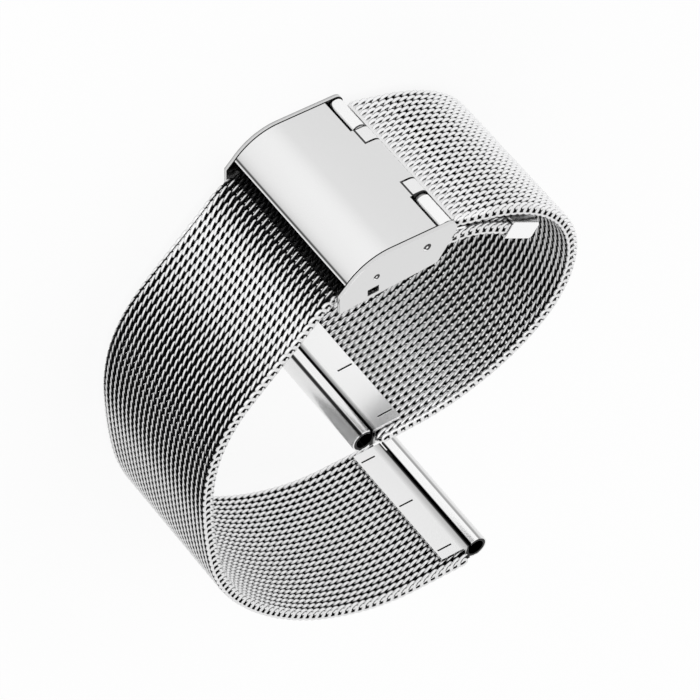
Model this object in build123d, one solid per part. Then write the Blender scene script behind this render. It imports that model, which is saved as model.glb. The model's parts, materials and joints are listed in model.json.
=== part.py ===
from build123d import *
import os
from math import atan2, cos, degrees, radians, sin

# Milanese mesh band, lying on one side edge.
# The side view is drawn in X and Y, and the band's width runs up along Z.
# The drawing starts at the near lower corner of the clasp; the finished part is moved to its own origin.

# Mesh
mesh_width = 20.0
mesh_thickness = 1.6
coil_spacing = 1.05
row_flat = 0.5
row_valley = 0.2
row_clearance = 0.06
# Coil rows in each block of a flexible stretch, and how far the block turns in degrees
long_block_counts = [2, 2, 2, 4, 5, 5, 5, 5, 5, 5, 5, 5, 5, 6, 6, 6, 6, 6]
long_block_angles = [34, 12, -2, -1, 2, 17, 17, 11, 4, 4, 11, 12, 8, 10, 11, 11, 16, 0]
short_block_counts = [5, 4, 4, 4, 4, 4, 4, 4, 4, 4, 5, 5, 4]
short_block_angles = [0, -9, -12, -16, -18, -19, -19, -18, -14, -11, -11, -13, 0]
tail_block_counts = [4, 4, 5]
tail_block_angles = [-14, -20, 0]

# Clasp frame: a floor under the strap and two side flanges
floor_thickness = 0.45
floor_start = 2.1
floor_length = 8.6
flange_thickness = 0.45
side_gap = 0.45
flange_nose = 1.0
flange_nose_height = 2.5
channel_start = 1.0
channel_end = 1.3
flange_bottom = 12.0
flange_tip_angle = -40.0
channel_clearance = 0.05
pry_slot_x = 3.7
pry_slot_y = 0.85
pry_slot_length = 1.45
pry_slot_height = 1.2

# Clasp cover: one bent sheet with a lip at the front and a rolled edge at the back
cover_sheet = 0.45
cover_side_clearance = 0.1
cover_slope = 5.0
cover_flat_length = 7.4
cover_front_radius = 6.4
cover_front_angle = 56.0
corner_strip = 4.85
corner_gap = 0.35
tab_width = 2.1
tab_slit = 0.2
tab_wrap_angle = 245.0
tongue_wrap_angle = 80.0

# Hinge between the cover and the short half
hinge_x = 13.4
hinge_y = 4.2
hinge_pin_radius = 0.6
hinge_running_clearance = 0.05
press_clearance = 0.01
knuckle_wall = 0.35
knuckle_end_gap = 0.05
short_heading = -21.0
hinge_leaf_length = 3.4
hinge_leaf_thickness = 0.3
hinge_leaf_gap = 0.3

# Cross pin in the frame, the catch under the cover that snaps over it, and the hook that hangs on it
catch_pin_x = 10.6
catch_pin_y = 3.4
catch_pin_radius = 0.5
catch_width = 6.0
catch_sheet = 0.4
hook_sheet = 0.35
hook_eye_wall = 0.2
hook_bridge_start = 1.05
hook_bridge_length = 0.55

# Lock plate that holds the clasp in place along the strap, and its pin
lock_pin_x = 4.1
lock_pin_radius = 0.4
lock_sheet = 0.35
lock_plate_length = 5.3
lock_plate_side_gap = 0.6
lock_ridge_radius = 0.15
lock_tab_width = 6.0
lock_tab_length = 0.5

# Lug ends: a folded sheet that clamps the mesh and is rolled into a tube for the spring bar
lug_width = 18.0
lug_sheet = 0.45
lug_seat_gap = 0.02
lug_inner_leaf = 3.8
lug_outer_leaf = 4.6
lug_tube_radius = 1.5
lug_seam = 0.3
crimp_length = 1.9
crimp_width = 0.2
crimp_edge = 0.3
crimp_side = 1.3

# Cap on the tail of the long half
cap_sheet = 0.3
cap_length = 4.2
cap_overlap = 2.6

# One reach past a face for every cut, and the angle of a square corner
overrun = 1.0
square_angle = 90.0

row_radius = mesh_thickness / 2
channel_y = floor_thickness + channel_clearance + row_radius
curl_radius = hinge_pin_radius + hinge_running_clearance + cover_sheet / 2
knuckle_radius = hinge_pin_radius + press_clearance + knuckle_wall
lock_barrel_radius = lock_pin_radius + hinge_running_clearance + lock_sheet
lock_pin_y = channel_y + row_radius + channel_clearance + lock_barrel_radius
cover_width = mesh_width + 2 * side_gap - 2 * cover_side_clearance
cover_bottom = cover_side_clearance - side_gap
knuckle_bottom = cover_bottom + knuckle_end_gap
hook_arm_bottom = cover_bottom + corner_strip - knuckle_end_gap - hook_sheet
frame_bottom = -side_gap - flange_thickness
frame_width = mesh_width + 2 * side_gap + 2 * flange_thickness
hinge = (hinge_x, hinge_y)
long_bends = list(zip(long_block_counts, long_block_angles))
short_bends = list(zip(short_block_counts, short_block_angles))
tail_bends = list(zip(tail_block_counts, tail_block_angles))


def polar(centre, radius, angle):
    """The point at a radius and an angle in degrees from a centre."""
    return (centre[0] + radius * cos(radians(angle)), centre[1] + radius * sin(radians(angle)))


def row_centres(start, heading, bends):
    """Centres of the coil rows, one pitch apart, from the start row on; and the last heading."""
    x, y = start
    centres = [start]
    for rows, turn in bends:
        for _ in range(rows):
            heading += turn / rows / 2
            x, y = polar((x, y), coil_spacing, heading)
            heading += turn / rows / 2
            centres.append((x, y))
    return centres, heading


def coil_row(before, centre, after):
    """One coil row seen from its end: its crests rolled flat, with half a valley on either side."""
    crest, reach, flank = row_flat / 2, coil_spacing / 2 + row_clearance, row_radius - row_valley
    half = [(crest, row_radius), (reach, flank), (reach, -flank), (crest, -row_radius)]
    outline = make_face(Polyline(*half, *[(-x, -y) for x, y in half], close=True))
    heading = degrees(atan2(after[1] - before[1], after[0] - before[0]))
    return Pos(*centre) * Rot(0, 0, heading) * outline


def mesh_block(centres, hinge_row=None):
    """Flat-topped rows between round end rows, hollowed at one end to turn round the row before it."""
    rows = [coil_row(*centres[i - 1:i + 2]) for i in range(1, len(centres) - 1)]
    rows.append(Pos(*centres[-1]) * Circle(row_radius))
    if hinge_row:
        rows.insert(0, coil_row(hinge_row, *centres[:2]))
    else:
        rows.insert(0, Pos(*centres[0]) * Circle(row_radius))
    face = Sketch() + rows
    if hinge_row:
        face -= Pos(*hinge_row) * Circle(row_radius + row_clearance)
    return extrude(face, mesh_width)


def mesh_blocks(name, centres, bends):
    """One block for each bend; each turns about the last row of the block before it."""
    blocks = {}
    first = 1
    for number, (rows, _) in enumerate(bends, 1):
        blocks[f"{name}_{number:02d}"] = mesh_block(centres[first:first + rows], centres[first - 1])
        first += rows
    return blocks


def cover_edges(offset):
    """The cover's side curve, from the hinge to the lip, at an offset outside its middle line."""
    normal = square_angle - cover_slope
    start = polar(hinge, curl_radius + offset, normal)
    end = polar(start, cover_flat_length, 180 - cover_slope)
    centre = polar(end, -(cover_front_radius + offset), normal)
    flat = Line(start, end)
    front = CenterArc(centre, cover_front_radius + offset, normal, cover_front_angle)
    return flat, front


def nose_x():
    """The front end of the clasp's frame, a little ahead of the cover's lip."""
    _, front = cover_edges(cover_sheet / 2)
    return (front @ 1).X - flange_nose


def flange_face():
    """Side flange: flat bottom, chamfered back corner, round tip at the hinge, top along the cover, cut nose."""
    top = cover_sheet / 2
    flat, front = cover_edges(top)
    tip = CenterArc(hinge, curl_radius + top, flange_tip_angle, square_angle - cover_slope - flange_tip_angle)
    cut_nose = Line(front @ 1, (nose_x(), flange_nose_height))
    nose = Line(cut_nose @ 1, (nose_x(), 0))
    bottom = Line((nose_x(), 0), (flange_bottom, 0))
    chamfer = Line((flange_bottom, 0), tip @ 0)
    return make_face([tip, flat, front, cut_nose, nose, bottom, chamfer])


def clasp_frame():
    flange = flange_face()
    slot = Rectangle(pry_slot_length, pry_slot_height)
    flange -= Pos(pry_slot_x, pry_slot_y) * slot
    flange -= Pos(catch_pin_x, catch_pin_y) * Circle(catch_pin_radius + press_clearance)
    flange -= Pos(lock_pin_x, lock_pin_y) * Circle(lock_pin_radius + press_clearance)
    lower = Pos(0, 0, frame_bottom) * extrude(flange, flange_thickness)
    upper = Pos(0, 0, mesh_width + side_gap) * extrude(flange, flange_thickness)
    floor = Pos(nose_x() + floor_start, 0, frame_bottom) * Box(
        floor_length, floor_thickness, frame_width, align=(Align.MIN, Align.MIN, Align.MIN))
    return lower + upper + floor


def cross_pin(x, y, radius, bottom, length):
    return Pos(x, y, bottom) * Cylinder(radius, length, align=(Align.CENTER, Align.CENTER, Align.MIN))


def curl_face(wrap):
    """The sheet rolled round the hinge pin, from the flat of the cover downwards."""
    start = square_angle - cover_slope - wrap
    outer = curl_radius + cover_sheet / 2
    inner = curl_radius - cover_sheet / 2
    edges = [CenterArc(hinge, outer, start, wrap), CenterArc(hinge, inner, start, wrap)]
    ends = [Line(edges[0] @ 0, edges[1] @ 0), Line(edges[0] @ 1, edges[1] @ 1)]
    return make_face(edges + ends)


def band_at(face, bottom, width):
    return Pos(0, 0, bottom) * extrude(face, width)


def clasp_cover():
    half = cover_sheet / 2
    flat_out, front_out = cover_edges(half)
    flat_in, front_in = cover_edges(-half)
    lip = Line(front_out @ 1, front_in @ 1)
    back = Line(flat_out @ 0, flat_in @ 0)
    plate = band_at(make_face([flat_out, front_out, lip, flat_in, front_in, back]), cover_bottom, cover_width)
    corner_x = hinge_x - knuckle_radius - corner_gap
    reach = 2 * hinge_x
    corner = Box(reach, reach, corner_strip + overrun, align=(Align.MIN, Align.CENTER, Align.MIN))
    plate -= Pos(corner_x, hinge_y, cover_bottom - overrun) * corner
    plate -= Pos(corner_x, hinge_y, cover_bottom + cover_width - corner_strip) * corner
    tab_low = cover_bottom + corner_strip
    tab_high = cover_bottom + cover_width - corner_strip - tab_width
    tongue_low = tab_low + tab_width + tab_slit
    tongue_width = tab_high - tab_slit - tongue_low
    plate += band_at(curl_face(tab_wrap_angle), tab_low, tab_width)
    plate += band_at(curl_face(tab_wrap_angle), tab_high, tab_width)
    plate += band_at(curl_face(tongue_wrap_angle), tongue_low, tongue_width)
    slit = Box(reach, reach, tab_slit, align=(Align.MIN, Align.CENTER, Align.MIN))
    plate -= Pos(hinge_x - curl_radius / 2, hinge_y, tongue_low - tab_slit) * slit
    plate -= Pos(hinge_x - curl_radius / 2, hinge_y, tongue_low + tongue_width) * slit
    return plate


def cover_catch():
    """A clip under the cover: a half ring over the cross pin, on a stem that meets the cover's flat."""
    pin = (catch_pin_x, catch_pin_y)
    inner = catch_pin_radius + hinge_running_clearance
    ring = Pos(*pin) * (Circle(inner + catch_sheet) - Circle(inner))
    half = Pos(*pin) * Rectangle(2 * (inner + catch_sheet), inner + catch_sheet, align=(Align.CENTER, Align.MIN))
    flat, _ = cover_edges(-cover_sheet / 2)
    under = flat @ 0
    slope = sin(radians(cover_slope)) / cos(radians(cover_slope))
    left = catch_pin_x - catch_sheet
    right = catch_pin_x + catch_sheet
    foot = catch_pin_y + inner + catch_sheet / 2
    stem = make_face(Polyline((left, foot), (right, foot), (right, under.Y + (under.X - right) * slope),
                              (left, under.Y + (under.X - left) * slope), close=True))
    return band_at(ring & half, (mesh_width - catch_width) / 2, catch_width) + \
        band_at(stem, (mesh_width - catch_width) / 2, catch_width)


def hook_link():
    """A bent sheet: two upright arms with eyes on the hinge pin and hooks over the cross pin, and a bridge."""
    pin = (catch_pin_x, catch_pin_y)
    inner = catch_pin_radius + hinge_running_clearance
    outer = inner + hook_sheet
    ring = Pos(*pin) * (Circle(outer) - Circle(inner))
    half = Pos(*pin) * Rectangle(2 * outer, outer, align=(Align.CENTER, Align.MIN))
    start = (catch_pin_x, catch_pin_y + inner)
    end = (hinge_x, hinge_y + hook_sheet / 2)
    arm = make_face(Polyline(start, (end[0], end[1] - hook_sheet), end, (start[0], start[1] + hook_sheet),
                             close=True))
    eye = Pos(*hinge) * Circle(hinge_pin_radius + press_clearance + hook_eye_wall)
    face = (ring & half) + arm + eye - Pos(*hinge) * Circle(hinge_pin_radius + press_clearance)
    top = mesh_width - 2 * hook_arm_bottom
    strip = Pos(catch_pin_x + hook_bridge_start, 0) * Rectangle(
        hook_bridge_length, 2 * hinge_y, align=(Align.MIN, Align.MIN))
    return band_at(face, hook_arm_bottom, hook_sheet) + \
        band_at(face, mesh_width - hook_arm_bottom - hook_sheet, hook_sheet) + \
        band_at(arm & strip, hook_arm_bottom, top)


def lock_plate():
    """A flap on a rolled barrel, with a ridge across it that faces the valley between two coil rows."""
    pin = (lock_pin_x, lock_pin_y)
    low = lock_pin_y - lock_barrel_radius + lock_ridge_radius
    flap = Pos(lock_pin_x, low) * Rectangle(lock_plate_length, lock_sheet, align=(Align.MIN, Align.MIN))
    ridge = Pos(lock_pin_x + lock_plate_length / 2, low) * Circle(lock_ridge_radius)
    tab = Pos(lock_pin_x + lock_plate_length - lock_sheet, low) * Rectangle(
        lock_sheet, lock_sheet + lock_tab_length, align=(Align.MIN, Align.MIN))
    barrel = Pos(*pin) * Circle(lock_barrel_radius)
    bore = Pos(*pin) * Circle(lock_pin_radius + hinge_running_clearance)
    width = mesh_width + 2 * side_gap - 2 * lock_plate_side_gap
    bottom = lock_plate_side_gap - side_gap
    return band_at(barrel + flap + ridge - bore, bottom, width) + \
        band_at(tab, (mesh_width - lock_tab_width) / 2, lock_tab_width)


def short_hinge_plate():
    """Two knuckles on the hinge pin, joined by a leaf under the first rows of the short half."""
    leaf_y = -row_radius - press_clearance
    first = curl_radius + cover_sheet / 2 + hinge_leaf_gap
    knuckle = Circle(knuckle_radius) + Pos(0, leaf_y) * Rectangle(
        first + hinge_leaf_thickness, hinge_leaf_thickness, align=(Align.MIN, Align.MAX))
    knuckle -= Circle(hinge_pin_radius + hinge_running_clearance)
    leaf = Pos(first, leaf_y) * Rectangle(
        hinge_leaf_length - first, hinge_leaf_thickness, align=(Align.MIN, Align.MAX))
    length = hook_arm_bottom - knuckle_end_gap - knuckle_bottom
    place = Pos(*hinge) * Rot(0, 0, short_heading)
    return place * (extrude(leaf, mesh_width) + band_at(knuckle, knuckle_bottom, length)
                    + band_at(knuckle, mesh_width - knuckle_bottom - length, length))


def lug_end(centre, heading, side):
    """Both leaves, the wall behind the mesh and the rolled tube; side is where the inner leaf lies."""
    seat = row_radius + lug_seat_gap
    wall = seat + lug_sheet
    tube_y = lug_tube_radius - wall
    tube_x = seat + lug_tube_radius
    inner = Pos(wall, seat) * Rectangle(lug_inner_leaf, lug_sheet, align=(Align.MAX, Align.MIN))
    outer = Pos(tube_x, -seat) * Rectangle(lug_outer_leaf - wall + tube_x, lug_sheet, align=(Align.MAX, Align.MAX))
    back = Pos(seat, 0) * Rectangle(lug_sheet, 2 * wall, align=(Align.MIN, Align.CENTER))
    face = inner + outer + back + Pos(tube_x, tube_y) * Circle(lug_tube_radius)
    face -= Pos(tube_x, tube_y) * Circle(lug_tube_radius - lug_sheet)
    face -= Pos(wall, tube_y) * Rectangle(lug_seam, 2 * lug_tube_radius, align=(Align.MIN, Align.MIN))
    solid = Pos(0, 0, (mesh_width - lug_width) / 2) * extrude(face, lug_width)
    crimp = Box(crimp_length, 2 * lug_sheet, crimp_width, align=(Align.MIN, Align.MIN, Align.CENTER))
    crimp_x = wall - lug_inner_leaf + crimp_edge
    reach = lug_width / 2 - crimp_side
    for z in (-reach, 0, reach):
        solid -= Pos(crimp_x, seat - press_clearance, mesh_width / 2 + z) * crimp
    if side < 0:
        solid = mirror(solid, Plane.XZ)
    return Pos(*centre) * Rot(0, 0, heading) * solid


def tail_cap(centre, heading):
    seat = row_radius + lug_seat_gap
    outer = Pos(-cap_overlap, 0) * Rectangle(cap_length, 2 * (seat + cap_sheet), align=(Align.MIN, Align.CENTER))
    outer = fillet(outer.vertices().group_by(Axis.X)[-1], cap_sheet)
    pocket = Pos(-cap_overlap, 0) * Rectangle(cap_overlap + seat, 2 * seat, align=(Align.MIN, Align.CENTER))
    return Pos(*centre) * Rot(0, 0, heading) * extrude(outer - pocket, mesh_width)


def build():
    first_x = nose_x() + channel_start
    clasp_rows = 1 + int((hinge_x - channel_end - first_x) / coil_spacing)
    channel = [(first_x + i * coil_spacing, channel_y) for i in range(clasp_rows)]
    long_rows, long_heading = row_centres(channel[0], 180, long_bends)
    tail_rows, tail_heading = row_centres(channel[-1], 0, tail_bends)
    start = polar(hinge, coil_spacing, short_heading)
    short_rows, lug_heading = row_centres(start, short_heading, short_bends)
    parts = {
        "clasp_frame": clasp_frame(),
        "catch_pin": cross_pin(catch_pin_x, catch_pin_y, catch_pin_radius, frame_bottom, frame_width),
        "lock_plate_pin": cross_pin(lock_pin_x, lock_pin_y, lock_pin_radius, frame_bottom, frame_width),
        "lock_plate": lock_plate(),
        "clasp_cover": clasp_cover(),
        "cover_catch": cover_catch(),
        "hook_link": hook_link(),
        "cover_hinge_pin": cross_pin(
            hinge_x, hinge_y, hinge_pin_radius, knuckle_bottom, mesh_width - 2 * knuckle_bottom),
        "short_hinge_plate": short_hinge_plate(),
        "clasp_mesh": mesh_block(channel),
        "tail_cap": tail_cap(tail_rows[-1], tail_heading),
        "long_lug_end": lug_end(long_rows[-1], long_heading, 1),
        "short_lug_end": lug_end(short_rows[-1], lug_heading, -1),
    }
    parts.update(mesh_blocks("tail_mesh", tail_rows, tail_bends))
    parts.update(mesh_blocks("long_mesh", long_rows, long_bends))
    short_blocks = mesh_blocks("short_mesh", short_rows, short_bends)
    short_blocks["short_mesh_01"] = mesh_block(short_rows[1:1 + short_bends[0][0]])
    parts.update(short_blocks)
    box = Compound(list(parts.values())).bounding_box()
    origin = Pos(-box.center().X, -box.center().Y, -box.min.Z)
    return {name: origin * solid for name, solid in parts.items()}


os.makedirs("parts", exist_ok=True)
for name, solid in build().items():
    export_step(solid, f"parts/{name}.step")
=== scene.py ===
import json
import math

import bpy
import numpy as np
from mathutils import Matrix, Vector


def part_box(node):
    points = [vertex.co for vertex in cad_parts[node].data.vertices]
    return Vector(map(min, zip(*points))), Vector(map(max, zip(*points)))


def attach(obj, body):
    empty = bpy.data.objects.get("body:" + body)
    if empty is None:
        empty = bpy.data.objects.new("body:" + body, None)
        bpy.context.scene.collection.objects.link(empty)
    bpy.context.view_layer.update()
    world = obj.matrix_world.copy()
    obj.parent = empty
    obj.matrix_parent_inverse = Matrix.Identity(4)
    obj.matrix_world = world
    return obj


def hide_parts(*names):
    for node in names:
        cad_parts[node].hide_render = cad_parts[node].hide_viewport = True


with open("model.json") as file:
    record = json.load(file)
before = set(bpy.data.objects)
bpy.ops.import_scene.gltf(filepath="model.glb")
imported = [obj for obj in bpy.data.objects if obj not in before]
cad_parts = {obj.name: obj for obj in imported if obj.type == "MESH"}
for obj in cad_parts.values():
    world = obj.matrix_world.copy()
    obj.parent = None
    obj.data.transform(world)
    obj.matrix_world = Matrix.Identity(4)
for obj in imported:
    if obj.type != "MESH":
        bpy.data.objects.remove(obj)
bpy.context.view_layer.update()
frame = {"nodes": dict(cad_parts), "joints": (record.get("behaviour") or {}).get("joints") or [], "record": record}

# Woven mesh of both halves: each row is one stainless wire, wound into a flat coil and screwed into the coil
# before it, with its ends hooked inwards at the band's edges. All coils are in step. The finished weave is
# rolled flat, which leaves small polished flats on the crests of the wires.
mm = 0.001
band_width = 20.0 * mm
band_thickness = 1.6 * mm
wire_thickness = 0.4 * mm
rolled_off = 0.03 * mm
coil_spacing = 1.05 * mm
turn_spacing = 0.8 * mm
coil_reach = 0.84 * mm

# A coil is a little squarer than an oval, and its wires slant where they cross the band's faces. Its hooked
# ends shrink as they turn, and tuck in over their first quarter turn.
coil_fullness = 0.9
coil_flatness = 1.3
wire_slant = 0.65
hook_turns = 0.9
hook_shrink = 0.55
hook_tuck = 0.25
tuck_turns = 0.25
press_fade = 0.3 * mm
steps_in_a_turn = 16
sides_of_wire = 6
round_wire = np.linspace(0, 2 * math.pi, sides_of_wire, endpoint=False)

# The polish fades in over a share of the band's half thickness. The deeper it reaches, the further it wraps
# round the wire's sides. It also touches the hooked ends, which make the band's rim.
crest_fade = 0.2
wrap_most = 0.25
wrap_loss = 0.95
wrap_fade = 0.35
rim_tone = 0.65
rim_start = 0.984
rim_fade = 0.012
# The low end of these tones is painted shade: wire that the polish doesn't reach, down between the turns, renders
# near black.
wire_shade_and_polish_tones = ((0.0, (0.012, 0.012, 0.013)), (0.25, 0.04), (0.5, 0.72), (1.0, (0.93, 0.93, 0.935)))
dull_wire = 0.5
polished_wire = 0.2
draw_mark_scale = 2600.0
draw_mark_detail = 3.0
draw_mark_roughness = 0.12
draw_mark_bump = 0.12
draw_mark_height = 0.02 * mm

mesh_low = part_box("clasp_mesh")[0].z
hinge_place = {joint["child"]: joint["pos_m"] for joint in frame["joints"] if joint["type"] == "hinge"}


def bare_steel(name):
    """A bare metal, and the surface that its finish goes into."""
    steel = bpy.data.materials.new(name)
    steel.use_nodes = True
    surface = steel.node_tree.nodes["Principled BSDF"]
    surface.inputs["Metallic"].default_value = 1.0
    return steel, surface


def finish_math(finish, operation, *values):
    """One step of arithmetic in a finish, on numbers and on other nodes' outputs."""
    node = finish.node_tree.nodes.new("ShaderNodeMath")
    node.operation = operation
    for socket, value in zip(node.inputs, values):
        if isinstance(value, (int, float)):
            socket.default_value = value
        else:
            finish.node_tree.links.new(value, socket)
    return node.outputs["Value"]


def graded(finish, value, start, end, low=0.0, high=1.0):
    """Low where a value is at its start, high where it is at its end, even between and held beyond."""
    grade = finish.node_tree.nodes.new("ShaderNodeMapRange")
    for socket, number in (("From Min", start), ("From Max", end), ("To Min", low), ("To Max", high)):
        grade.inputs[socket].default_value = number
    finish.node_tree.links.new(value, grade.inputs["Value"])
    return grade.outputs["Result"]


def toned(steel, value, tones):
    """The tone for a value from 0 to 1, from stops at 0, at 1 and between. A tone is a grey or a colour."""
    ramp = steel.node_tree.nodes.new("ShaderNodeValToRGB")
    stops = [(stop, (*tone, 1) if isinstance(tone, tuple) else (tone, tone, tone, 1)) for stop, tone in tones]
    ramp.color_ramp.elements[0].color = stops[0][1]
    ramp.color_ramp.elements[1].color = stops[-1][1]
    for stop, colour in stops[1:-1]:
        ramp.color_ramp.elements.new(stop).color = colour
    steel.node_tree.links.new(value, ramp.inputs["Fac"])
    return ramp.outputs["Color"]


def speckled(steel, place, scale, detail=2.0):
    """Random marks all over a steel, as many to the metre as the scale says."""
    marks = steel.node_tree.nodes.new("ShaderNodeTexNoise")
    marks.inputs["Scale"].default_value = scale
    marks.inputs["Detail"].default_value = detail
    steel.node_tree.links.new(place, marks.inputs["Vector"])
    return marks.outputs["Fac"]


def hollowed(steel, surface, marks, strength, height):
    """Makes the marks of a steel into shallow hollows, and returns the node that does it."""
    hollows = steel.node_tree.nodes.new("ShaderNodeBump")
    hollows.inputs["Strength"].default_value = strength
    hollows.inputs["Distance"].default_value = height
    steel.node_tree.links.new(marks, hollows.inputs["Height"])
    steel.node_tree.links.new(hollows.outputs["Normal"], surface.inputs["Normal"])
    return hollows


def wire_steel():
    """Drawn stainless wire: polished where the rolls touched it, and dull down between the turns, where its tone
    is painted near black as painted shade.
    """
    steel, surface = bare_steel("rolled_wire_steel")
    nodes, links = steel.node_tree.nodes, steel.node_tree.links
    rolled = nodes.new("ShaderNodeAttribute")
    rolled.attribute_name = "rolled"
    links.new(toned(steel, rolled.outputs["Fac"], wire_shade_and_polish_tones), surface.inputs["Base Color"])
    place = nodes.new("ShaderNodeTexCoord")
    draw_marks = speckled(steel, place.outputs["Object"], draw_mark_scale, draw_mark_detail)
    sheen = graded(steel, rolled.outputs["Fac"], 0.0, 1.0, dull_wire, polished_wire)
    links.new(finish_math(steel, "MULTIPLY_ADD", draw_marks, draw_mark_roughness, sheen),
              surface.inputs["Roughness"])
    hollowed(steel, surface, draw_marks, draw_mark_bump, draw_mark_height)
    return steel


def coil_line():
    """The middle line of one row's wire, which winds up the band's width, and the turn at each point."""
    low = mesh_low + wire_thickness / 2
    high = mesh_low + band_width - wire_thickness / 2
    turns = (high - low) / turn_spacing
    count = int((turns + 2 * hook_turns) * steps_in_a_turn) + 1
    turn = np.linspace(-hook_turns, turns + hook_turns, count) * 2 * math.pi
    z = np.clip(low + turn_spacing / (2 * math.pi) * (turn - wire_slant * np.sin(2 * turn)), low, high)
    hook = np.clip(np.maximum(-turn, turn - 2 * math.pi * turns) / (2 * math.pi), 0, hook_turns)
    size = 1 - hook_shrink * hook
    lift = (band_thickness - wire_thickness) / 2
    along = coil_reach * size * np.sign(np.cos(turn)) * np.abs(np.cos(turn)) ** coil_fullness
    along *= 1 - hook_tuck * np.clip(hook / tuck_turns, 0, 1)
    out = lift * size * np.sign(np.sin(turn)) * np.abs(np.sin(turn)) ** coil_fullness
    return np.stack([along, out, z], axis=1), turn


def coil_rings():
    """Rings of points round one row's wire, flattened on both faces of the band by the rolls."""
    line, turn = coil_line()
    way = np.gradient(line, axis=0)
    way /= np.linalg.norm(way, axis=1)[:, None]
    rise = np.stack([np.cos(turn), np.sin(turn) * coil_flatness, 0 * turn], axis=1)
    rise -= (rise * way).sum(1)[:, None] * way
    rise /= np.linalg.norm(rise, axis=1)[:, None]
    side = np.cross(way, rise)
    rings = line[:, None, :] + wire_thickness / 2 * (
        np.cos(round_wire)[None, :, None] * rise[:, None, :]
        + np.sin(round_wire)[None, :, None] * side[:, None, :])
    face = band_thickness / 2 - rolled_off
    rings[:, :, 1] = np.clip(rings[:, :, 1], -face, face)
    return rings


def press_round(rings, radius):
    """Presses the free back of a row round, so that it turns clear of the clasp."""
    inside = np.minimum(1, radius / np.hypot(rings[:, :, 0], rings[:, :, 1]))
    pressed = 1 - np.clip(-rings[:, :, 0] / press_fade, 0, 1) * (1 - inside)
    rings[:, :, :2] *= pressed[:, :, None]


def polish_and_shade_share(rings, below, above):
    """How polished a wire is at each point, from 0 to 1, which also sets its painted shade, since low values
    render near black. below and above are the heights down to which the polish reaches on the -Y and the +Y face,
    as shares of the band's half thickness."""
    height = np.abs(rings[:, :, 1]) / (band_thickness / 2)
    deep = np.where(rings[:, :, 1] < 0, below, above)
    facing = np.clip((np.cos(round_wire)[None, :] + wrap_most - wrap_loss * deep) / wrap_fade, 0, 1)
    crest = np.clip((height - deep) / crest_fade, 0, 1) * facing
    edge = np.abs(rings[:, :, 2] - (mesh_low + band_width / 2)) / (band_width / 2)
    rim = rim_tone * np.clip((edge - rim_start) / rim_fade, 0, 1)
    return np.maximum(crest, rim)


def wire_faces(count):
    """Faces of one wire of so many rings: four-sided ones from ring to ring, and two that close each end."""
    ring = np.arange(count - 1)[:, None] * sides_of_wire
    side = np.arange(sides_of_wire)[None, :]
    beside = (side + 1) % sides_of_wire
    skin = np.stack([ring + side, ring + beside, ring + sides_of_wire + beside, ring + sides_of_wire + side],
                    axis=2).reshape(-1, 4)
    first = np.arange(sides_of_wire)
    last = first[::-1] + (count - 1) * sides_of_wire
    caps = [end[[0, 3 + step, 2 + step, 1 + step]] for end in (first, last) for step in (0, 2)]
    return np.concatenate([skin, caps])


def onto_row(row, along, out):
    """X and Y of what lies so far along a row's heading and so far out of it."""
    x, y, heading = row
    c, s = math.cos(heading), math.sin(heading)
    return x + along * c - out * s, y + along * s + out * c


def woven_block(name, rows, body, node, polish, round_back=None):
    """The wires of one block of rows, in place of its CAD node. polish has each row's two polish heights, and
    round_back is the radius to which the back of the first row is pressed."""
    points, faces, rolled = [], [], []
    for number, row in enumerate(rows):
        rings = coil_rings()
        if number == 0 and round_back:
            press_round(rings, round_back)
        rolled.append(polish_and_shade_share(rings, *polish[number]).ravel())
        faces.append(wire_faces(len(rings)) + number * len(rings) * sides_of_wire)
        x, y = onto_row(row, rings[:, :, 0], rings[:, :, 1])
        points.append(np.stack([x, y, rings[:, :, 2]], axis=2).reshape(-1, 3))
    points, faces, rolled = np.concatenate(points), np.concatenate(faces), np.concatenate(rolled)
    mesh = bpy.data.meshes.new(name)
    mesh.vertices.add(len(points))
    mesh.vertices.foreach_set("co", points.astype(np.float32).ravel())
    mesh.loops.add(faces.size)
    mesh.loops.foreach_set("vertex_index", faces.astype(np.int32).ravel())
    mesh.polygons.add(len(faces))
    mesh.polygons.foreach_set("loop_start", np.arange(0, faces.size, 4, dtype=np.int32))
    mesh.update(calc_edges=True)
    mesh.validate()
    mesh.shade_smooth()
    mesh.attributes.new("rolled", "FLOAT", "POINT").data.foreach_set("value", rolled.astype(np.float32))
    mesh.materials.append(weave_steel)
    piece = bpy.data.objects.new(name, mesh)
    bpy.context.collection.objects.link(piece)
    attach(piece, body)
    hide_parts(node)


weave_steel = wire_steel()

# Mesh inside the clasp: the straight stretch of the long half, of the same woven wire. It slides through the
# frame from the lip to the hinge, and the lock plate holds it there.
# Its face toward the cover keeps little polish and renders near black, as painted shade under the cover.
channel_polish = (0.6, 0.9)
first_x, channel_y = hinge_place["long_mesh_01"][:2]
last_x = hinge_place["tail_mesh_01"][0]
channel_count = 1 + round((last_x - first_x) / coil_spacing)
channel_rows = [(first_x + number * coil_spacing, channel_y, 0.0) for number in range(channel_count)]
woven_block("woven_channel", channel_rows, "strap", "clasp_mesh", [channel_polish] * channel_count)

# Tail: the loose end of the long half, of the same woven wire. It comes out of the clasp under the hinge and
# follows the inside of the short half. Each block gives its count of rows and the degrees that it turns by.
tail_blocks = ((4, -14), (4, -20), (5, 0))
tail_polish = ((1, 0.5),)
tail_back = 0.65 * mm


def block_rows(x, y, heading, count, turn):
    """Places of a block's rows, which step on from the row before it and turn evenly."""
    rows = []
    for _ in range(count):
        heading += math.radians(turn / count / 2)
        x += coil_spacing * math.cos(heading)
        y += coil_spacing * math.sin(heading)
        heading += math.radians(turn / count / 2)
        rows.append((x, y, heading))
    return rows


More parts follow.
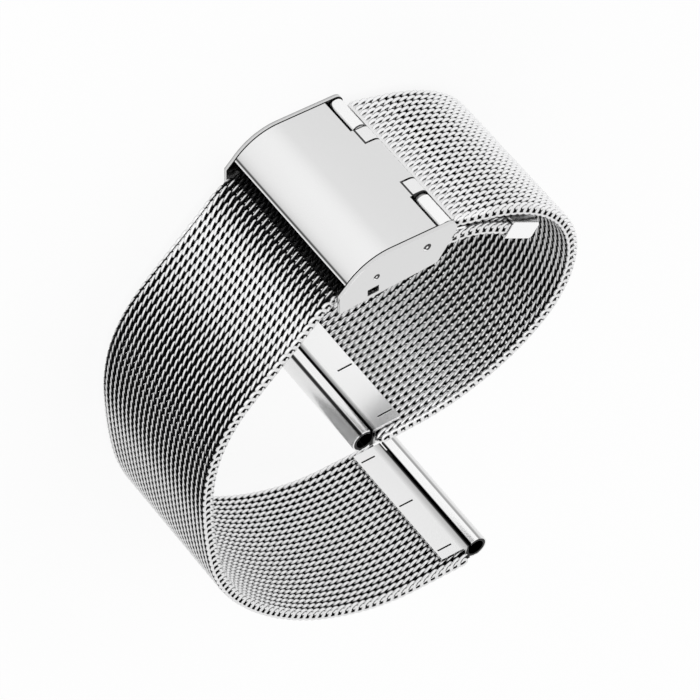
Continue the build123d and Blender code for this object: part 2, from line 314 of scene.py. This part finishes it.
def woven_run(run, blocks, first_body, start, heading, below, above, round_back=None):
    """Weaves a free run of mesh block by block, each from its own hinge, and returns the places of its rows.
    below and above give the polish heights of its two faces, as stops of a row's number and a height."""
    run_rows = []
    for number, (count, turn) in enumerate(blocks, 1):
        node = f"{run}_mesh_{number:02d}"
        first = number == 1
        x, y = start if first else hinge_place[node][:2]
        rows = block_rows(x, y, heading, count, turn)
        polish = [(np.interp(row, *zip(*below)), np.interp(row, *zip(*above)))
                  for row in range(len(run_rows) + 1, len(run_rows) + count + 1)]
        woven_block(f"woven_{run}_{number:02d}", rows, first_body if first else node, node, polish,
                    round_back if first else None)
        heading = rows[-1][2]
        run_rows += rows
    return run_rows


tail_rows = woven_run("tail", tail_blocks, "tail_mesh_01", hinge_place["tail_mesh_01"][:2], 0.0,
                      tail_polish, tail_polish, tail_back)

# Long half: woven wire from the clasp's lip end, down and round in the wide C to its lug end. The depth of the
# outside's polish changes along the rows as painted light and shade: dark at the lip as a painted shadow of it,
# polished deepest and so brightest just past the first bend, and dark again about rows 18 to 28. The inside is
# polished evenly.
long_blocks = ((2, 34), (2, 12), (2, -2), (4, -1), (5, 2), (5, 17), (5, 17), (5, 11), (5, 4), (5, 4),
               (5, 11), (5, 12), (5, 8), (6, 10), (6, 11), (6, 11), (6, 16), (6, 0))
long_outside = ((1, 0.8), (3.5, 0.62), (5.5, 0.45), (8.5, 0.52), (13, 0.66), (18, 0.74), (23, 0.8),
                (28, 0.77), (33, 0.65))
long_inside = ((1, 0.57),)
long_rows = woven_run("long", long_blocks, "long_mesh_01", hinge_place["long_mesh_01"][:2], math.pi,
                      long_outside, long_inside)

# Short half: the same woven wire, from the hinge at the clasp's far end round in the tighter curl. Its first
# rows are soldered to the hinge plate, a row's length away from the hinge pin.
short_blocks = ((5, 0), (4, -9), (4, -12), (4, -16), (4, -18), (4, -19), (4, -19), (4, -18), (4, -14),
                (4, -11), (5, -11), (5, -13), (4, 0))
# The polish depths of both faces change from row to row as painted light and shade.
short_outside = ((1, 0.1), (4, 0.3), (6, 0.5), (11, 0.48), (15, 0.28), (19, 0.1))
short_inside = ((27, 0.66), (31, 0.71), (39, 0.7), (44, 0.6), (49, 0.38), (53, 0.2))
short_back = 0.78 * mm
short_heading = math.radians(-21)
pin_x, pin_y = hinge_place["short_swivel"][:2]
short_start = (pin_x + coil_spacing * math.cos(short_heading), pin_y + coil_spacing * math.sin(short_heading))
short_rows = woven_run("short", short_blocks, "short_swivel", short_start, short_heading,
                       short_inside, short_outside, short_back)

# Clasp frame: one stainless sheet bent into a floor and two side flanges, ground and polished on the outside.
# The faces between the flanges are given a near-black tone, as painted shade inside the channel.
flange_skin = 0.4 * mm
floor_skin = 0.2 * mm
inner_face_shade = 0.06
hairline_scale = 420.0
hairline_detail = 5.0
hairline_stretch = 14.0
hairline_bump = 0.05
hairline_height = 0.01 * mm
cloud_scale = 90.0
cloud_roughness = 0.06
shade_full_below = 0.3
shade_none_above = 0.7
crevice_shade_tone = 0.02
crevice_samples = 8
edge_samples = 6


def places(steel):
    """A point's X, Y and Z on a piece."""
    nodes, links = steel.node_tree.nodes, steel.node_tree.links
    place = nodes.new("ShaderNodeTexCoord")
    parts = nodes.new("ShaderNodeSeparateXYZ")
    links.new(place.outputs["Object"], parts.inputs["Vector"])
    return parts.outputs["X"], parts.outputs["Y"], parts.outputs["Z"]


def polished_sheet(name, grey, gloss, edge, crevice=0.7 * mm):
    """Polished stainless sheet: softened edges, faint hairlines, uneven polish, and painted shade that darkens its
    crevices.
    """
    steel, surface = bare_steel(name)
    nodes, links = steel.node_tree.nodes, steel.node_tree.links
    place = nodes.new("ShaderNodeTexCoord")
    stretch = nodes.new("ShaderNodeMapping")
    stretch.inputs["Scale"].default_value = (1.0, 1.0, hairline_stretch)
    links.new(place.outputs["Object"], stretch.inputs["Vector"])
    hairlines = speckled(steel, stretch.outputs["Vector"], hairline_scale, hairline_detail)
    clouds = speckled(steel, place.outputs["Object"], cloud_scale)
    links.new(finish_math(steel, "MULTIPLY_ADD", clouds, cloud_roughness, gloss), surface.inputs["Roughness"])
    # Painted shade: where ambient occlusion finds the sheet closed in, its tone falls nearly to black.
    openness = nodes.new("ShaderNodeAmbientOcclusion")
    openness.samples = crevice_samples
    openness.inputs["Distance"].default_value = crevice
    crevice_shade = graded(steel, openness.outputs["AO"], shade_full_below, shade_none_above, crevice_shade_tone)
    # The node named marks carries each sheet's painted light and shade and its other marks, multiplied into its
    # tone.
    retoned = finish_math(steel, "MULTIPLY", finish_math(steel, "MULTIPLY", crevice_shade, grey), 1.0)
    retoned.node.name = "marks"
    links.new(retoned, surface.inputs["Base Color"])
    softened = nodes.new("ShaderNodeBevel")
    softened.samples = edge_samples
    softened.inputs["Radius"].default_value = edge
    lines = hollowed(steel, surface, hairlines, hairline_bump, hairline_height)
    links.new(softened.outputs["Normal"], lines.inputs["Normal"])
    return steel


def retone(steel, amount):
    """Multiplies a polished sheet's tone by an amount of its own, which carries its painted light and shade and
    other marks.
    """
    steel.node_tree.links.new(amount, steel.node_tree.nodes["marks"].inputs[1])


def chosen(steel, choice, unchosen_tone, chosen_tone=1.0):
    """One tone where a choice is 0, another where it is 1."""
    return finish_math(steel, "MULTIPLY_ADD", choice, chosen_tone - unchosen_tone, unchosen_tone)


def dress(node, steel):
    """Gives a CAD node its finish."""
    for place in frame["nodes"][node].material_slots:
        place.material = steel


frame_steel = polished_sheet("polished_frame_steel", grey=0.7, gloss=0.16, edge=0.12 * mm)
low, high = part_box("clasp_frame")
x, y, z = places(frame_steel)
# Painted shade: every face but the flanges' outer skins and the floor's underside takes the near-black inner tone.
aside = finish_math(frame_steel, "SUBTRACT", z, (low.z + high.z) / 2)
from_middle = finish_math(frame_steel, "ABSOLUTE", aside)
outside = finish_math(frame_steel, "GREATER_THAN", from_middle, (high.z - low.z) / 2 - flange_skin)
underneath = finish_math(frame_steel, "LESS_THAN", y, low.y + floor_skin)
polished = finish_math(frame_steel, "MAXIMUM", outside, underneath)
retone(frame_steel, chosen(frame_steel, polished, inner_face_shade))
dress("clasp_frame", frame_steel)

# Cross pins of the clasp: ground steel pins pressed into both flanges, flush. Each end is dark in a crescent on
# one side.
crescent_start = 0.3
crescent_side = -0.8
crescent_tone = 0.05


def distance(steel, across, up):
    """How far a point is from an axis, out of its two offsets from it."""
    squares = [finish_math(steel, "MULTIPLY", offset, offset) for offset in (across, up)]
    return finish_math(steel, "SQRT", finish_math(steel, "ADD", *squares))


for node in ("catch_pin", "lock_plate_pin"):
    pin_steel = polished_sheet("ground_" + node + "_steel", grey=0.85, gloss=0.2, edge=0.03 * mm)
    low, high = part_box(node)
    radius = (high.x - low.x) / 2
    x, y, z = places(pin_steel)
    across = finish_math(pin_steel, "SUBTRACT", x, (low.x + high.x) / 2)
    up = finish_math(pin_steel, "SUBTRACT", y, (low.y + high.y) / 2)
    ring = finish_math(pin_steel, "GREATER_THAN", distance(pin_steel, across, up), crescent_start * radius)
    one_side = finish_math(pin_steel, "GREATER_THAN", finish_math(pin_steel, "ADD", across, up),
                           crescent_side * radius)
    crescent = finish_math(pin_steel, "MULTIPLY", ring, one_side)
    retone(pin_steel, chosen(pin_steel, crescent, 1.0, crescent_tone))
    dress(node, pin_steel)

# Hook link, catch, hinge pin and lock plate: pressed stainless sheet and a ground pin, all inside the clasp.
# They are satin, and given a darker tone than the outer steel as painted shade inside the clasp, apart from the
# bright lock plate, whose ridge shows in the flange's slot.
inner_steel = polished_sheet("pressed_inner_steel", grey=0.5, gloss=0.32, edge=0.05 * mm)
for node in ("hook_link", "cover_catch", "cover_hinge_pin"):
    dress(node, inner_steel)
dress("lock_plate", polished_sheet("bright_lock_plate_steel", grey=0.95, gloss=0.2, edge=0.05 * mm,
                                   crevice=0.12 * mm))

# Clasp cover: one stainless sheet bent down at the front to a lip, with two rolled tabs and a tongue at the back.
# Its tones run from the lip to the back and are painted light: a bright edge at the lip and a dark band behind it
# as painted reflection, then a painted highlight over the front bend. Dark lines round the tabs are painted shade
# in their slits, and the tabs are painted brighter as a painted highlight.
lip_to_back = ((0.0, 0.95), (0.006, 0.95), (0.01, 0.01), (0.018, 0.01), (0.024, 0.78), (0.1, 0.86),
               (0.22, 0.9), (0.32, 0.88), (0.42, 0.745), (1.0, 0.745))
tab_middle = 4.4 * mm
tab_half = 1.1 * mm
tab_length = 2.0 * mm
line_half = 0.12 * mm
slit_shade_tone = 0.08
tab_highlight_tone = 1.15
cover_steel = polished_sheet("polished_cover_steel", grey=1.0, gloss=0.14, edge=0.08 * mm)
low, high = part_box("clasp_cover")
x, y, z = places(cover_steel)
bend = toned(cover_steel, graded(cover_steel, x, low.x, high.x), lip_to_back)
bend.node.color_ramp.interpolation = "B_SPLINE"
# Painted shade in lines round the tabs, and a painted highlight on the tabs themselves.
aside = finish_math(cover_steel, "SUBTRACT", z, (low.z + high.z) / 2)
from_middle = finish_math(cover_steel, "ABSOLUTE", aside)
from_tab = finish_math(cover_steel, "ABSOLUTE", finish_math(cover_steel, "SUBTRACT", from_middle, tab_middle))
past_side = finish_math(cover_steel, "SUBTRACT", from_tab, tab_half)
past_end = finish_math(cover_steel, "SUBTRACT", high.x - tab_length, x)
past_tab = finish_math(cover_steel, "MAXIMUM", past_side, past_end)
off_line = finish_math(cover_steel, "GREATER_THAN", finish_math(cover_steel, "ABSOLUTE", past_tab), line_half)
on_tab = finish_math(cover_steel, "LESS_THAN", past_tab, 0.0)
pressed = finish_math(cover_steel, "MULTIPLY", chosen(cover_steel, off_line, slit_shade_tone),
                      chosen(cover_steel, on_tab, 1.0, tab_highlight_tone))
retone(cover_steel, finish_math(cover_steel, "MULTIPLY", bend, pressed))
dress("clasp_cover", cover_steel)

# Hinge plate of the short half: a stainless sheet with two bright knuckles rolled round the hinge pin. Its
# leaf lies under the first rows of mesh, held by a low bar of soft solder that has run in between the wires.
solder_inset = 0.3 * mm
solder_outline = ((-0.9 * mm, -0.1 * mm), (2.9 * mm, -0.1 * mm), (2.9 * mm, 0.15 * mm), (0.9 * mm, 0.42 * mm),
                  (-0.7 * mm, 0.48 * mm), (-0.9 * mm, 0.35 * mm))


def bar_across(name, row, outline, low, high, steel):
    """A closed bar from low to high across the band. Its outline is drawn from a row, along and out of it."""
    flat = [onto_row(row, along, out) for along, out in outline]
    count = len(flat)
    points = [(*point, z) for z in (low, high) for point in flat]
    faces = [tuple(range(count))[::-1], tuple(range(count, 2 * count))]
    faces += [(i, (i + 1) % count, count + (i + 1) % count, count + i) for i in range(count)]
    mesh = bpy.data.meshes.new(name)
    mesh.from_pydata(points, [], faces)
    mesh.materials.append(steel)
    bar = bpy.data.objects.new(name, mesh)
    bpy.context.collection.objects.link(bar)
    return bar


dress("short_hinge_plate", polished_sheet("bright_hinge_steel", grey=0.95, gloss=0.12, edge=0.05 * mm,
                                          crevice=0.12 * mm))
solder_steel = polished_sheet("soft_solder", grey=0.85, gloss=0.34, edge=0.05 * mm, crevice=0.2 * mm)
solder = bar_across("hinge_solder", short_rows[0], solder_outline, mesh_low + solder_inset,
                    mesh_low + band_width - solder_inset, solder_steel)
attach(solder, "short_swivel")

# Lug ends: a stainless sheet folded over the last rows, crimped at three places and rolled into a tube for a
# spring bar. Its tones run from the leaf's start to the tube's end and are painted light and shade: a dark seam
# and a dark line along the tube's side as painted shade, and a painted highlight along the tube. The bore and the
# tube's mouths are painted near black as painted shade.
leaf_start = -2.6 * mm
tube_end = 3.85 * mm
mouth_radius = 1.36 * mm
mouth_shade_tone = 0.02
lug_light_and_shade_tones = {
    "long": ((0.0, 0.86), (0.42, 0.84), (0.5, 0.6), (0.56, 0.5), (0.58, 0.02), (0.645, 0.02), (0.66, 0.97),
             (0.79, 0.97), (0.81, 0.35), (0.84, 0.4), (0.87, 0.75), (1.0, 0.9)),
    "short": ((0.0, 0.97), (0.5, 0.95), (0.55, 0.4), (0.575, 0.3), (0.58, 0.01), (0.65, 0.01), (0.66, 0.95),
              (0.8, 0.95), (0.82, 0.03), (0.86, 0.03), (0.88, 0.8), (1.0, 0.85)),
}
bore_place = {mount["name"]: mount["pos_m"] for mount in frame["record"]["mounts"]}
for half, (row_x, row_y, heading) in (("long", long_rows[-1]), ("short", short_rows[-1])):
    node = half + "_lug_end"
    lug_steel = polished_sheet("polished_" + node + "_steel", grey=1.0, gloss=0.14, edge=0.09 * mm,
                               crevice=1.5 * mm)
    x, y, z = places(lug_steel)
    by_x = finish_math(lug_steel, "MULTIPLY", finish_math(lug_steel, "SUBTRACT", x, row_x), math.cos(heading))
    by_y = finish_math(lug_steel, "MULTIPLY", finish_math(lug_steel, "SUBTRACT", y, row_y), math.sin(heading))
    past_row = finish_math(lug_steel, "ADD", by_x, by_y)
    # Painted light and shade along the lug, and painted shade in the bore and the tube's mouths.
    painted_lug_light = toned(lug_steel, graded(lug_steel, past_row, leaf_start, tube_end), lug_light_and_shade_tones[half])
    bore_x, bore_y = bore_place[half + "_end_spring_bar"][:2]
    from_bore = distance(lug_steel, finish_math(lug_steel, "SUBTRACT", x, bore_x),
                         finish_math(lug_steel, "SUBTRACT", y, bore_y))
    outside = finish_math(lug_steel, "GREATER_THAN", from_bore, mouth_radius)
    retone(lug_steel, finish_math(lug_steel, "MULTIPLY", painted_lug_light, chosen(lug_steel, outside, mouth_shade_tone)))
    dress(node, lug_steel)

# Tail cap: a plain polished stainless channel pressed over the cut end of the long half. Thin plates of the
# same steel close its two open ends.
cap_back = -2.6 * mm
cap_front = 1.6 * mm
cap_half = 1.12 * mm
cap_corner = 0.3 * mm
plate = 0.15 * mm
cap_outline = ((cap_back, -cap_half), (cap_front - cap_corner, -cap_half),
               (cap_front, -cap_half + cap_corner), (cap_front, cap_half - cap_corner),
               (cap_front - cap_corner, cap_half), (cap_back, cap_half))
cap_steel = polished_sheet("polished_cap_steel", grey=0.92, gloss=0.16, edge=0.09 * mm)
dress("tail_cap", cap_steel)
for name, bottom in (("tail_cap_near_end", mesh_low + band_width), ("tail_cap_far_end", mesh_low - plate)):
    end = bar_across(name, tail_rows[-1], cap_outline, bottom, bottom + plate, cap_steel)
    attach(end, "tail_mesh_03")

# Studio: a flat floor of pale paper, and a white backdrop all round. Both show white to the camera and in the
# polished steel, and the floor keeps enough of its own surface to take the band's shadow.
floor_reach = 3.0
paper_grey = 0.9
paper_roughness = 0.8
paper_glow = 0.88
backdrop_light = 0.95
backdrop_white = 1.0


def shown(backdrop):
    """1 for the rays that show a backdrop: straight to the camera, mirrored, or through something clear."""
    rays = backdrop.node_tree.nodes.new("ShaderNodeLightPath")
    mirrored, clear = rays.outputs["Is Glossy Ray"], rays.outputs["Is Transmission Ray"]
    bent = finish_math(backdrop, "MAXIMUM", mirrored, clear)
    return finish_math(backdrop, "MAXIMUM", rays.outputs["Is Camera Ray"], bent)


floor_mesh = bpy.data.meshes.new("studio_floor")
floor_mesh.from_pydata([(-floor_reach, -floor_reach, 0), (floor_reach, -floor_reach, 0),
                        (floor_reach, floor_reach, 0), (-floor_reach, floor_reach, 0)], [], [(0, 1, 2, 3)])
floor = bpy.data.objects.new("studio_floor", floor_mesh)
bpy.context.collection.objects.link(floor)
paper = bpy.data.materials.new("pale_paper")
paper.use_nodes = True
nodes, links = paper.node_tree.nodes, paper.node_tree.links
paper_surface = nodes["Principled BSDF"]
paper_surface.inputs["Base Color"].default_value = (paper_grey, paper_grey, paper_grey, 1)
paper_surface.inputs["Roughness"].default_value = paper_roughness
glow = nodes.new("ShaderNodeEmission")
blend = nodes.new("ShaderNodeMixShader")
links.new(finish_math(paper, "MULTIPLY", shown(paper), paper_glow), blend.inputs["Fac"])
links.new(paper_surface.outputs["BSDF"], blend.inputs[1])
links.new(glow.outputs["Emission"], blend.inputs[2])
links.new(blend.outputs["Shader"], nodes["Material Output"].inputs["Surface"])
floor_mesh.materials.append(paper)

world = bpy.data.worlds.new("studio")
bpy.context.scene.world = world
world.use_nodes = True
sky = world.node_tree.nodes["Background"]
sky.inputs["Color"].default_value = (1, 1, 1, 1)
world.node_tree.links.new(graded(world, shown(world), 0.0, 1.0, backdrop_light, backdrop_white),
                          sky.inputs["Strength"])

# Lamps: a broad soft one overhead and a smaller one from the front left, both turned to the band. They stay
# weak, so that the polished tops don't burn out.
band_middle = (0, 0, 0.01)


def aimed(place, aim):
    """Stands a lamp or the camera at a place, looking at its aim."""
    way = Vector(aim) - Vector(place)
    return Matrix.Translation(place) @ way.to_track_quat("-Z", "Y").to_matrix().to_4x4()


for name, place, size, power in (("overhead_softbox", (-0.1, 0.25, 0.6), 0.6, 0.2),
                                 ("front_softbox", (-0.5, 0.45, 0.25), 0.4, 0.4)):
    lamp = bpy.data.lights.new(name, "AREA")
    lamp.shape = "DISK"
    lamp.size = size
    lamp.energy = power
    light = bpy.data.objects.new(name, lamp)
    bpy.context.collection.objects.link(light)
    light.matrix_world = aimed(place, band_middle)

# Camera: it looks down on the band at the photograph's angle, a long way off. The photograph's picture stands
# turned to the band as it lies here, so the camera is rolled about its own line of sight.
camera_elevation = math.radians(30.3654)
camera_azimuth = math.radians(204.5148)
camera_roll = math.radians(138.7261)
camera_aim = Vector((2.2208 * mm, 1.8001 * mm, 9.6773 * mm))
camera_distance = 592.812 * mm
lens_length = 274.737
sensor_width = 36.0
nearest_seen = 10 * mm
camera_data = bpy.data.cameras.new("camera")
camera_data.lens = lens_length
camera_data.sensor_width = sensor_width
camera_data.clip_start = nearest_seen
camera = bpy.data.objects.new("camera", camera_data)
bpy.context.collection.objects.link(camera)
level = math.cos(camera_elevation)
backwards = Vector((math.sin(camera_azimuth) * level, -math.cos(camera_azimuth) * level,
                    math.sin(camera_elevation)))
camera.matrix_world = aimed(camera_aim + camera_distance * backwards, camera_aim) @ (
    Matrix.Rotation(camera_roll, 4, "Z"))
bpy.context.scene.camera = camera
bpy.context.scene.view_settings.view_transform = "Standard"
